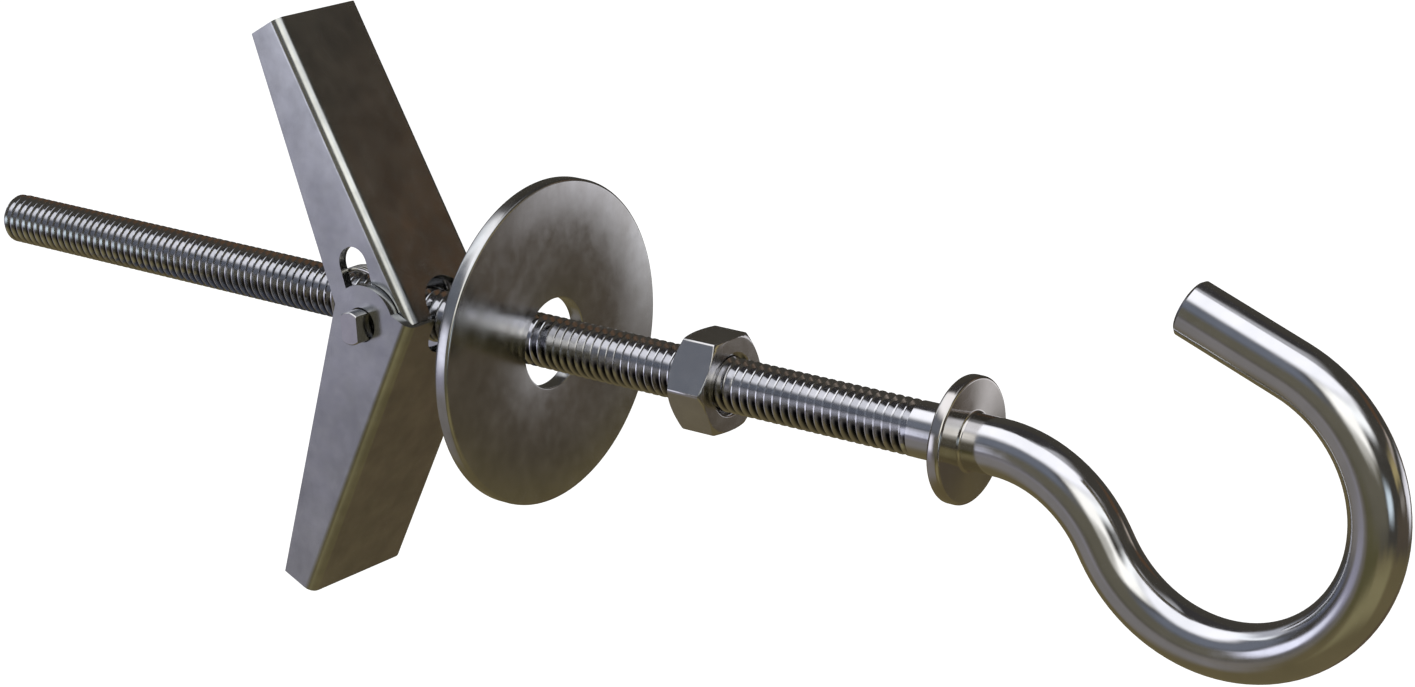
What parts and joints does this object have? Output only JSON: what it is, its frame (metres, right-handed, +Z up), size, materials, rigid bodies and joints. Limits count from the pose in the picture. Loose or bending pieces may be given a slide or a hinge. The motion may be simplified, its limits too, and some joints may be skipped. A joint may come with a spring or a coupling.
{
  "type": "spring toggle anchor with hook",
  "caption": "Threaded hook bolt carrying a pair of sprung folding wings, a large wall washer and a hex nut, for hanging things from a hollow wall or ceiling.",
  "frame": {"origin": "where the bolt's axis meets the wall-side face of the large washer", "axes": "+X along the bolt towards the hook, +Z up and in the plane of the hook, Y along the wings' pivot"},
  "size_m": [0.1251, 0.0246, 0.0452],
  "materials": {
    "bolt_steel": "nickel-plated steel wire, polished",
    "washer_steel": "zinc-plated steel, satin",
    "nut_steel": "zinc-plated steel, satin",
    "toggle_steel": "zinc-plated turned steel",
    "wing_steel": "zinc-plated sheet steel, faintly mottled",
    "spring_steel": "bright spring wire"
  },
  "bodies": {
    "bolt": {"hook_bolt": "bolt_steel", "collar": "bolt_steel"},
    "washer": {"large_washer": "washer_steel"},
    "nut": {"hex_nut": "nut_steel"},
    "toggle": {"toggle_nut": "toggle_steel", "torsion_spring": "spring_steel"},
    "outer_wing": {"outer_wing": "wing_steel"},
    "inner_wing": {"inner_wing": "wing_steel"}
  },
  "joints": [
    {"name": "toggle_travel", "type": "slide", "parent": "bolt", "child": "toggle", "axis": [1, 0, 0], "range_m": [-0.04, 0.004]},
    {"name": "outer_wing_fold", "type": "hinge", "parent": "toggle", "child": "outer_wing", "pos_m": [-0.01305, 0, 0], "axis": [0, 1, 0], "range_deg": [0, 65.9], "stiffness_Nm_per_rad": 0.006, "springref_deg": -45.84, "deforming": ["torsion_spring"]},
    {"name": "inner_wing_fold", "type": "hinge", "parent": "toggle", "child": "inner_wing", "pos_m": [-0.01305, 0, 0], "axis": [0, -1, 0], "range_deg": [0, 58.9], "stiffness_Nm_per_rad": 0.006, "springref_deg": -45.84, "deforming": ["torsion_spring"]},
    {"name": "washer_travel", "type": "slide", "parent": "bolt", "child": "washer", "axis": [1, 0, 0], "range_m": [-0.004, 0.004]},
    {"name": "nut_travel", "type": "slide", "parent": "bolt", "child": "nut", "axis": [1, 0, 0], "range_m": [-0.0086, 0.0145]}
  ]
}
